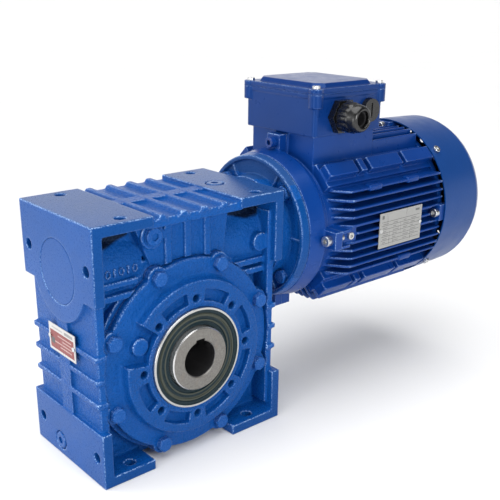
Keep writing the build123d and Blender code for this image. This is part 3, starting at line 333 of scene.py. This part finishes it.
def painted_pocket_shade(surface):
    """1 on the deep backs of the pockets beside the worm block, where painted shade turns the colour nearly black.
    """
    across = surface.math("ABSOLUTE", surface.x)
    beyond_block = surface.math("GREATER_THAN", across, 0.064)
    before_wall = surface.math("LESS_THAN", across, 0.1135)
    under_bar = surface.math("LESS_THAN", surface.z, 0.1640)
    narrowing = surface.math("MULTIPLY", surface.spread(across, 0.095, 0.064, 0.0, 0.031), 0.30)
    height = surface.math("SUBTRACT", surface.z, narrowing)
    above_bulge = surface.spread(height, 0.1375, 0.1405)
    deep = surface.spread(surface.math("ABSOLUTE", surface.y), 0.0480, 0.0445)
    return surface.product(beyond_block, before_wall, under_bar, above_bulge, deep)


def cast_paint(name, round_edges, roughcast=1.0, wear_glint_amount=1.0):
    """Paint over sand-cast iron: grainy all over, finer on the machined pads, pale on worn edges with painted
    highlights, a painted reflection on the top pads and painted shade on the front faces, the flange rings and the
    pocket backs.
    """
    surface = Surface(name, {"IOR": 1.5, "Specular IOR Level": 0.28, "Specular Tint": glaze_tint})
    out = surface.math("ABSOLUTE", surface.y)
    pads = surface.math("GREATER_THAN", surface.z, case_top - face_depth)
    ends = surface.math("LESS_THAN", surface.x, case_left + face_depth)
    fronts = surface.math("GREATER_THAN", out, -case_front - face_depth)
    machined = surface.math("MAXIMUM", pads, surface.math("MAXIMUM", ends, fronts))
    on_face = surface.math("GREATER_THAN", out, flange_face - face_depth)
    near_axis = surface.math("LESS_THAN", surface.radius_about(surface.x, surface.z), flange_radius)
    flange = surface.product(on_face, near_axis)

    clouds = surface.spread(surface.noise(14.0, 4.0), 0.3, 0.7)
    grain = surface.noise(760.0, 3.0)
    lumps = surface.noise(260.0, 2.0)
    body = surface.blend(clouds, shade(gear_blue, 0.90), shade(gear_blue, 1.08))
    # Painted reflection: the top pads are blended towards a pale grey, as if reflecting the bright room.
    body = surface.blend(surface.pick(pads, 0.0, 0.36), body, (0.040, 0.066, 0.110))
    # Painted shade: the front faces of the housing are darkened.
    body = surface.blend(surface.pick(fronts, 0.0, 0.28), body, shade(gear_blue, 0.30))
    # Painted shade: the output flange rings are darkened further.
    body = surface.blend(surface.pick(flange, 0.0, 0.46), body, shade(gear_blue, 0.30))
    speckle = surface.product(surface.spread(grain, 0.35, 0.65), surface.pick(machined, 1.0, 0.15))
    body = surface.blend(speckle, body, shade(gear_blue, 1.22))
    # Painted shade: the deep pocket backs beside the worm block are coloured nearly black.
    body = surface.blend(painted_pocket_shade(surface), body, (0.0012, 0.0040, 0.0130))

    # Worn edges with painted highlights, mostly on those that face up and to the front left, and fewer on the
    # flange rings.
    glint = surface.product(surface.edges(0.510, 0.542), surface.spread(grain, 0.48, 0.56))
    lit_facing = surface.pick(surface.facing(lit_side, 0.25, 0.75), 0.12, 0.85)
    wear_glint = surface.product(glint, lit_facing, surface.pick(flange, 1.0, 0.35), wear_glint_amount)
    surface.feed_colour(surface.blend(wear_glint, body, wear_glint_blue))
    surface.feed_roughness(surface.spread(grain, 0.35, 0.65, 0.24, 0.38))
    rough_cast = surface.pick(machined, roughcast, 0.10 * roughcast)
    surface.relief(((lumps, 0.0014, rough_cast), (grain, 0.0007, rough_cast)), round_edges)
    return surface.material


def smooth_paint(name, colour, round_edges, gloss=0.26, wear_glint_amount=1.0):
    """Glossy paint over die-cast aluminium or pressed sheet, with a faint orange peel, and pale worn edges with
    painted highlights on those that face up and to the front left.
    """
    surface = Surface(name, {"IOR": 1.5, "Specular IOR Level": 0.50, "Specular Tint": glaze_tint})
    clouds = surface.spread(surface.noise(9.0, 4.0), 0.3, 0.7)
    peel = surface.noise(420.0, 2.0)
    body = surface.blend(clouds, shade(colour, 0.90), shade(colour, 1.10))
    speck = surface.spread(surface.noise(700.0, 2.0), 0.42, 0.58)
    # Worn edges with painted highlights, mostly on those that face up and to the front left.
    upward = surface.pick(surface.facing(lit_side, 0.10, 0.75), 0.15, 0.80)
    wear_glint = surface.product(surface.edges(0.520, 0.565), speck, upward, wear_glint_amount)
    surface.feed_colour(surface.blend(wear_glint, body, wear_glint_blue))
    surface.feed_roughness(surface.spread(surface.noise(60.0, 3.0), 0.3, 0.7, gloss, gloss + 0.10))
    surface.relief(((peel, 0.00025, 0.35),), round_edges)
    return surface.material


# ---- Metals -------------------------------------------------------------------
def metal(name, colour, roughness, streak=(1.0, 1.0, 1.0), stain=None, painted_above=None):
    """Bare metal with fine streaks, cloudy roughness and stains, painted over above a height."""
    surface = Surface(name, {"Metallic": 1.0})
    streaks = surface.noise(900.0, 3.0, streak)
    clouds = surface.noise(45.0, 4.0)
    stained = surface.spread(clouds, 0.48, 0.72, 0.0, 0.55)
    bright = surface.blend(surface.spread(streaks, 0.3, 0.7), shade(colour, 0.86), colour)
    finish = surface.blend(stained, bright, stain or shade(colour, 0.70))
    if painted_above:
        paint = surface.math("GREATER_THAN", surface.z, painted_above)
        finish = surface.blend(paint, finish, motor_blue)
        surface.feed(surface.shader.inputs["Metallic"], surface.math("SUBTRACT", 1.0, paint))
    surface.feed_colour(finish)
    surface.feed_roughness(surface.spread(clouds, 0.3, 0.7, roughness, roughness + 0.16))
    surface.relief(((streaks, 0.00012, 0.35),), 0.0004)
    return surface.material


def machined_shaft(name):
    """Faced cast iron with turning marks and specks, and a dark oiled bore."""
    bore_edge = bore_radius + 0.0038
    face_edge = shaft_end - 0.0010
    outer_edge = shaft_radius - 0.0012
    turning_rate = 9000.0        # radians per metre, so a mark every 0.7 mm
    surface = Surface(name, {"Metallic": 0.85})
    radius = surface.radius_about(surface.x, surface.z)
    near_bore = surface.math("LESS_THAN", radius, bore_edge)
    behind_face = surface.math("LESS_THAN", surface.math("ABSOLUTE", surface.y), face_edge)
    bore = surface.math("MULTIPLY", near_bore, behind_face)
    side = surface.math("GREATER_THAN", radius, outer_edge)
    specks = surface.spread(surface.noise(620.0, 4.0), 0.36, 0.70)
    turning = surface.math("SINE", surface.math("MULTIPLY", radius, turning_rate))
    face = surface.blend(specks, (0.24, 0.232, 0.215), (0.17, 0.162, 0.15))
    rust = surface.spread(surface.noise(70.0, 5.0), 0.62, 0.80, 0.0, 0.25)
    face = surface.blend(rust, face, (0.26, 0.17, 0.11))
    face = surface.blend(side, face, (0.62, 0.62, 0.62))
    surface.feed_colour(surface.blend(bore, face, (0.13, 0.13, 0.135)))
    face_roughness = surface.spread(specks, 0.0, 1.0, 0.36, 0.50)
    polished = surface.math("MAXIMUM", side, bore)
    dull = surface.math("MULTIPLY", face_roughness, surface.spread(polished, 0.0, 1.0, 1.0, 0.45))
    surface.feed_roughness(dull)
    surface.relief(((turning, 0.00004, 0.30), (specks, 0.00008, 0.30)), 0.0005)
    return surface.material


def lip_seal(name):
    """Pressed steel rim, dark teal rubber and two paler ribs, told apart by radius."""
    steel_radius = 0.0572
    rubber_ribs = ((0.0506, 0.0017), (0.0444, 0.0006))   # middle radius and half width of each
    rib_fade = 0.0005
    surface = Surface(name, {"IOR": 1.5, "Specular IOR Level": 0.18})
    radius = surface.radius_about(surface.x, surface.z)
    steel = surface.math("GREATER_THAN", radius, steel_radius)
    grain = surface.noise(520.0, 3.0)
    rubber = surface.blend(surface.spread(grain, 0.35, 0.65), (0.006, 0.016, 0.022), (0.012, 0.028, 0.036))
    for centre, half_width in rubber_ribs:
        off_centre = surface.math("ABSOLUTE", surface.math("SUBTRACT", radius, centre))
        rib = surface.spread(off_centre, half_width, half_width + rib_fade, 0.80, 0.0)
        rubber = surface.blend(rib, rubber, (0.070, 0.076, 0.058))
    surface.feed_colour(surface.blend(steel, rubber, (0.50, 0.50, 0.49)))
    surface.feed(surface.shader.inputs["Metallic"], steel)
    surface.feed_roughness(surface.spread(steel, 0.0, 1.0, 0.42, 0.22))
    surface.relief(((grain, 0.00010, 0.30),), 0.0003)
    return surface.material


# ---- Plastics, rubber and the rest ---------------------------------------------
def plain_grain(name, colour, roughness, scale=300.0, relief=0.00012, sockets=None):
    """Moulded or fibrous surface: slight mottling in colour, roughness and relief."""
    surface = Surface(name, sockets or {})
    grain = surface.noise(scale, 4.0)
    mottled = surface.spread(grain, 0.3, 0.7)
    surface.feed_colour(surface.blend(mottled, shade(colour, 0.80), shade(colour, 1.25)))
    surface.feed_roughness(surface.spread(grain, 0.3, 0.7, roughness, roughness + 0.14))
    surface.relief(((grain, relief, 0.5),), 0.0005)
    return surface.material


def banded(name, colour, period, roughness, metallic):
    """Stack of thin layers along the motor, as in sheet laminations or wound wire."""
    surface = Surface(name, {"Metallic": metallic})
    wave = surface.math("SINE", surface.math("MULTIPLY", surface.x, 2 * math.pi / period))
    layers = surface.spread(wave, -1.0, 1.0)
    surface.feed_colour(surface.blend(layers, shade(colour, 0.55), colour))
    surface.feed_roughness(surface.spread(surface.noise(80.0), 0.3, 0.7, roughness, roughness + 0.15))
    surface.relief(((layers, 0.0003, 0.6),))
    return surface.material


class Plate:
    """Flat printed plate: a surface with places across it given from 0 to 1."""

    def __init__(self, name, node, across, base):
        self.surface = Surface(name, {"Metallic": 0.35, "Coat Weight": 0.3})
        low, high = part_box(node)
        letter = "xyz"[across]
        along = getattr(self.surface, letter)
        self.u = self.surface.spread(along, low[across], high[across])
        self.v = self.surface.spread(self.surface.z, low.z, high.z)
        scratch = self.surface.noise(260.0, 3.0, (1.0, 1.0, 0.08))
        self.colour = self.surface.blend(scratch, shade(base, 0.86), base)
        self.surface.feed_roughness(self.surface.spread(scratch, 0.3, 0.7, 0.26, 0.40))
        self.surface.relief(((scratch, 0.00003, 0.3),), 0.0003)

    def inside(self, u_limits, v_limits):
        """1 inside a rectangle and 0 outside it."""
        tests = []
        for value, (low, high) in ((self.u, u_limits), (self.v, v_limits)):
            tests.append(self.surface.math("GREATER_THAN", value, low))
            tests.append(self.surface.math("LESS_THAN", value, high))
        result = tests[0]
        for test in tests[1:]:
            result = self.surface.math("MULTIPLY", result, test)
        return result

    def fill(self, u_limits, v_limits, ink, strength=1.0):
        """Print a rectangle."""
        amount = self.surface.math("MULTIPLY", self.inside(u_limits, v_limits), strength)
        self.colour = self.surface.blend(amount, self.colour, ink)

    def finish(self):
        self.surface.feed_colour(self.colour)
        return self.surface.material


def label_plate():
    """White plate with a red field and rows of plain bars."""
    plate = Plate("label_print", "gear_label_plate", 1, (0.56, 0.55, 0.54))
    red, pale, dark = (0.20, 0.010, 0.010), (0.44, 0.27, 0.25), (0.035, 0.035, 0.04)
    plate.fill((0.05, 0.95), (0.09, 0.76), red)
    for row, (start, end) in enumerate(((0.14, 0.66), (0.14, 0.50), (0.14, 0.78), (0.14, 0.58))):
        height = 0.60 - 0.125 * row
        plate.fill((start, end), (height, height + 0.045), pale)
    plate.fill((0.78, 0.92), (0.26, 0.48), dark)
    plate.fill((0.08, 0.40), (0.81, 0.92), dark, 0.6)
    plate.fill((0.46, 0.88), (0.84, 0.89), dark, 0.4)
    return plate.finish()


def motor_plate():
    """Silver plate with ruled rows and a few short dark bars."""
    plate = Plate("motor_plate_print", "motor_nameplate", 0, (0.36, 0.36, 0.35))
    ink, line = (0.05, 0.05, 0.055), (0.09, 0.09, 0.09)
    for row in range(7):
        height = 0.10 + 0.105 * row
        plate.fill((0.05, 0.95), (height, height + 0.014), line)
    for row in range(6):
        for column in range(4):
            start = 0.08 + 0.22 * column + 0.02 * ((row * 3 + column) % 3)
            height = 0.135 + 0.105 * row
            width = 0.07 + 0.03 * ((row + 2 * column) % 3)
            plate.fill((start, start + width), (height, height + 0.030), ink, 0.5)
    plate.fill((0.05, 0.10), (0.83, 0.93), ink, 0.8)
    plate.fill((0.84, 0.94), (0.86, 0.92), ink, 0.8)
    return plate.finish()


def make_finishes():
    """One material for each material slot of the record."""
    return {
        "gear_paint": cast_paint("gear_paint", 0.0009, roughcast=0.10, wear_glint_amount=0.0),
        "motor_paint": smooth_paint("motor_paint", motor_blue, 0.0008, wear_glint_amount=0.0),
        "cowl_paint": smooth_paint("cowl_paint", cowl_blue, 0.0008, gloss=0.30, wear_glint_amount=0.0),
        "painted_bolt": cast_paint("painted_bolt", 0.0009, roughcast=0.30, wear_glint_amount=0.25),
        "machined_iron": machined_shaft("machined_iron"),
        "bronze": metal("bronze", (0.72, 0.47, 0.20), 0.24),
        "steel": metal("steel", (0.58, 0.58, 0.58), 0.22, (0.06, 1.0, 1.0)),
        "bearing_steel": metal("bearing_steel", (0.74, 0.74, 0.76), 0.12),
        "zinc": metal("zinc", zinc_grey, 0.20, stain=(0.50, 0.48, 0.40)),
        "seal_rubber": lip_seal("seal_rubber"),
        "gasket_paper": plain_grain("gasket_paper", (0.003, 0.050, 0.240), 0.60, scale=600.0),
        "black_plastic": plain_grain(
            "black_plastic", (0.004, 0.004, 0.0045), 0.20, 240.0, 0.00004, {"Coat Weight": 0.25}
        ),
        "fan_plastic": plain_grain("fan_plastic", (0.020, 0.020, 0.022), 0.45),
        "copper": banded("copper", (0.62, 0.24, 0.09), 0.0018, 0.30, 0.8),
        "lamination": banded("lamination", (0.34, 0.34, 0.36), 0.0011, 0.38, 0.9),
        "label": label_plate(),
        "silver_plate": motor_plate(),
    }


# ---- Pieces with worn, rounded shapes --------------------------------------------
def evaluated_mesh(piece):
    """The mesh of a piece with its modifiers applied."""
    graph = bpy.context.evaluated_depsgraph_get()
    return bpy.data.meshes.new_from_object(piece.evaluated_get(graph), depsgraph=graph)


def add_piece(name, mesh, finish):
    """Piece of the visual model that stands still with the case."""
    mesh.materials.append(finish)
    piece = bpy.data.objects.new(name, mesh)
    bpy.context.scene.collection.objects.link(piece)
    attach(piece, "gear_case")
    return piece


def rounded_copy(node, name, voxel, rounds, face_limit, finish, webs=()):
    """Copy of a CAD node as a casting: webs added, remeshed, its corners softened, and thinned out."""
    mesh = frame["nodes"][node].data.copy()
    build = bmesh.new()
    build.from_mesh(mesh)
    for low, high in webs:
        middle = Matrix.Translation((Vector(low) + Vector(high)) / 2)
        size = Matrix.Diagonal((*(Vector(high) - Vector(low)), 1.0))
        bmesh.ops.create_cube(build, size=1.0, matrix=middle @ size)
    build.to_mesh(mesh)
    build.free()
    piece = bpy.data.objects.new(name, mesh)
    bpy.context.scene.collection.objects.link(piece)
    weld = piece.modifiers.new("weld", "WELD")
    weld.merge_threshold = 1e-6
    remesh = piece.modifiers.new("remesh", "REMESH")
    remesh.mode = "VOXEL"
    remesh.voxel_size = voxel * 1.0
    soften = piece.modifiers.new("soften", "SMOOTH")
    soften.factor = 0.5
    soften.iterations = rounds
    dense = evaluated_mesh(piece)
    piece.modifiers.clear()
    piece.data = dense
    triangles = 2 * len(dense.polygons)
    if triangles > face_limit:
        thin = piece.modifiers.new("thin", "DECIMATE")
        thin.ratio = face_limit / triangles
        piece.data = evaluated_mesh(piece)
        piece.modifiers.clear()
    piece.data.name = name
    piece.data.shade_smooth()
    piece.data.materials.clear()
    piece.data.materials.append(finish)
    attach(piece, "gear_case")
    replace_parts(piece, node)
    return piece


def make_castings():
    """Rounded copies of the castings that show."""
    cast = cast_paint("cast_paint_on_castings", 0.0)
    die_cast = smooth_paint("paint_on_die_castings", motor_blue, 0.0)
    web_sides = ((-0.0505, -0.039), (0.039, 0.0505))
    webs = [((-0.0545, low, 0.099), (-0.0435, high, 0.119)) for low, high in web_sides]
    rounded_copy("gear_housing", "housing_casting", 0.0011, 4, 190_000, cast, webs)
    for end in ("front", "rear"):
        rounded_copy(f"output_cover_{end}", f"output_cover_casting_{end}", 0.0009, 4, 90_000, cast)
    rounded_copy("input_flange", "input_flange_casting", 0.0009, 4, 70_000, cast)
    rounded_copy("drive_end_shield", "drive_shield_casting", 0.0010, 4, 70_000, die_cast)
    rounded_copy("motor_frame", "motor_frame_casting", 0.0010, 3, 190_000, die_cast)
    # Painted shade: the terminal box and lid get a darker copy of the motor paint.
    shaded_box_paint = smooth_paint("shaded_paint_on_terminal_box", shade(motor_blue, 0.76), 0.0)
    rounded_copy("terminal_box_body", "terminal_box_casting", 0.0008, 3, 60_000, shaded_box_paint)
    rounded_copy("terminal_box_lid", "terminal_lid_casting", 0.0008, 3, 60_000, shaded_box_paint)


def turned_ring(name, node, outline, centre, side, finish, flutes=0):
    """Ring about a line along Y in place of a CAD node, from (radius, y, flute depth) in millimetres."""
    steps = 192
    build = bmesh.new()
    rings = []
    for k in range(steps):
        turn = 2 * math.pi * k / steps
        across, up = math.cos(turn), math.sin(turn)
        hollow = 0.5 - 0.5 * math.cos(flutes * turn)
        ring = []
        for radius, y, depth in outline:
            reach = (radius - depth * hollow**2) / 1000
            spot = (centre[0] + reach * across, side * y / 1000, centre[1] + reach * up)
            ring.append(build.verts.new(spot))
        rings.append(ring)
    for k in range(steps):
        here, there = rings[k], rings[(k + 1) % steps]
        for i in range(len(outline)):
            j = (i + 1) % len(outline)
            build.faces.new((here[i], here[j], there[j], there[i]))
    bmesh.ops.recalc_face_normals(build, faces=build.faces[:])
    mesh = bpy.data.meshes.new(name)
    build.to_mesh(mesh)
    build.free()
    mesh.shade_smooth()
    mesh.set_sharp_from_angle(angle=math.radians(40))
    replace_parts(add_piece(name, mesh, finish), node)


def make_output_seals(finishes):
    """Each output seal with its pressed case, two rubber ribs and a dust lip set well back."""
    outline = [
        (37.7, 67.6), (59.9, 67.6), (59.9, 76.3), (59.4, 76.9), (57.2, 76.9), (56.4, 75.6),
        (55.0, 75.2), (53.6, 75.2), (53.0, 74.4), (52.2, 74.4), (51.6, 75.8), (50.2, 75.8),
        (49.6, 74.4), (48.0, 74.0), (46.0, 74.0), (45.2, 74.9), (43.6, 74.9), (42.8, 73.4),
        (40.6, 72.8), (39.4, 73.6), (38.6, 73.6), (37.9, 72.4),
    ]
    outline = [(radius, y, 0.0) for radius, y in outline]
    rubber = finishes["seal_rubber"]
    for side, end in ((-1, "front"), (1, "rear")):
        turned_ring(f"lip_seal_{end}", f"output_seal_{end}", outline, (0.0, 0.0), side, rubber)


def make_flange_threads(finishes):
    """Thread turns inside the eight tapped holes of each output flange."""
    dims = output_flange["dims"]
    circle, hole = dims["pcd_mm"] / 2000, dims["hole_r_mm"] / 1000
    pitch, ridge, sides, turns = 0.00175, 0.0006, 28, 8
    first_turn, clearance = 0.0012, 0.00002
    build = bmesh.new()
    for side in (-1, 1):
        for k in range(dims["count"]):
            turn = 2 * math.pi * k / dims["count"]
            centre = (circle * math.cos(turn), circle * math.sin(turn))
            loops = []
            for i in range(2 * turns + 1):
                reach = hole + clearance - (ridge if i % 2 else 0.0)
                y = side * (flange_face - first_turn - i * pitch / 2)
                loops.append([
                    build.verts.new((
                        centre[0] + reach * math.cos(2 * math.pi * j / sides),
                        y,
                        centre[1] + reach * math.sin(2 * math.pi * j / sides),
                    ))
                    for j in range(sides)
                ])
            for outer, inner in zip(loops, loops[1:]):
                for j in range(sides):
                    n = (j + 1) % sides
                    build.faces.new((outer[j], outer[n], inner[n], inner[j]))
    mesh = bpy.data.meshes.new("flange_threads")
    build.to_mesh(mesh)
    build.free()
    add_piece("flange_threads", mesh, finishes["painted_bolt"])


def make_gland_nut(finishes):
    """Fluted clamping nut of the cable gland, drawn in to a rounded nose."""
    low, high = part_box("cable_gland_nut")
    centre = ((low.x + high.x) / 2, (low.z + high.z) / 2)
    back, nose = -1000 * high.y, -1000 * low.y
    outline = [
        (15.1, back, 0.0), (17.4, back, 0.0), (18.4, back + 0.8, 0.6), (18.5, back + 3.0, 1.0),
        (18.5, back + 12.0, 1.0), (18.3, back + 14.5, 0.8), (17.6, back + 15.8, 0.2),
        (17.2, back + 16.6, 0.0), (17.0, back + 18.4, 0.0), (16.6, nose - 7.0, 0.0),
        (15.9, nose - 4.2, 0.0), (14.8, nose - 2.0, 0.0), (13.4, nose - 0.6, 0.0),
        (12.0, nose, 0.0), (10.9, nose - 0.3, 0.0), (10.1, nose - 1.2, 0.0),
        (9.8, nose - 2.6, 0.0), (9.8, nose - 5.0, 0.0), (11.6, nose - 5.6, 0.0),
        (11.6, back + 14.0, 0.0), (15.1, back + 14.0, 0.0),
    ]
    finish = finishes["black_plastic"]
    turned_ring("gland_clamping_nut", "cable_gland_nut", outline, centre, -1, finish, flutes=12)


def make_fin_pads(finishes):
    """Raised pads near the tips of the outermost side fins."""
    mesh = bpy.data.meshes.new("fin_pads")
    build = bmesh.new()
    fin_level, fin_tip = 0.052, 0.0945
    size = Matrix.Diagonal((0.024, 0.0110, 0.0076, 1.0))
    for side in (-1, 1):
        for level, x in ((1, 0.262), (1, 0.335), (-1, 0.330)):
            place = Matrix.Translation((x, side * fin_tip, worm_height + level * fin_level))
            bmesh.ops.create_cube(build, size=1.0, matrix=place @ size)
    bmesh.ops.bevel(
        build, geom=build.edges[:], offset=0.0026, segments=3, profile=0.6, affect="EDGES"
    )
    build.to_mesh(mesh)
    build.free()
    mesh.shade_smooth()
    add_piece("fin_pads", mesh, finishes["motor_paint"])


def make_casting_marks():
    """Row of plain raised bars and rings on the bulge round the left worm bearing."""
    mesh = bpy.data.meshes.new("casting_marks")
    build = bmesh.new()
    lean, height, depth, stroke = math.radians(-5.0), 0.0085, 0.0030, 0.0013
    first_x, spacing, ring_reach, sides = -0.0985, 0.0088, 0.0027, 20
    bulge_start, bulge_start_radius, bulge_slope, proud = 0.052, 0.050, 0.0972, 0.0002
    for k in range(5):
        x = first_x + spacing * k
        bulge_radius = bulge_start_radius + bulge_slope * (abs(x) - bulge_start) + proud
        place = Matrix.Translation((x, 0.0, worm_height)) @ Matrix.Rotation(lean, 4, "X")
        place = place @ Matrix.Translation((0.0, -bulge_radius, 0.0))
        if k % 2:
            size = Matrix.Diagonal((2 * stroke, depth, height, 1.0))
            bmesh.ops.create_cube(build, size=1.0, matrix=place @ size)
            continue
        size = Matrix.Diagonal((stroke, depth, stroke, 1.0))
        for i in range(sides):
            turn = 2 * math.pi * i / sides
            rise = 0.5 * (height - stroke) * math.sin(turn)
            spot = Matrix.Translation((ring_reach * math.cos(turn), 0.0, rise))
            bmesh.ops.create_cube(build, size=1.0, matrix=place @ spot @ size)
    bmesh.ops.bevel(
        build, geom=build.edges[:], offset=0.0005, segments=2, profile=0.6, affect="EDGES"
    )
    build.to_mesh(mesh)
    build.free()
    mesh.shade_smooth()
    add_piece("casting_marks", mesh, cast_paint("paint_on_marks", 0.0))


def dress_cad_nodes(finishes):
    """Give each CAD node that stays the finish of its slot."""
    for node, piece in frame["nodes"].items():
        for material_slot in piece.material_slots:
            material_slot.material = finishes[slot_of_node[node]]
    painted_above = worm_height + 0.07
    touched_up = metal("zinc_painted_on_top", zinc_grey, 0.20, painted_above=painted_above)
    for material_slot in frame["nodes"]["drive_end_screws"].material_slots:
        material_slot.material = touched_up


add_camera()
add_world()
add_lights()
add_floor()
finishes = make_finishes()
dress_cad_nodes(finishes)
make_castings()
make_output_seals(finishes)
make_flange_threads(finishes)
make_gland_nut(finishes)
make_fin_pads(finishes)
make_casting_marks()
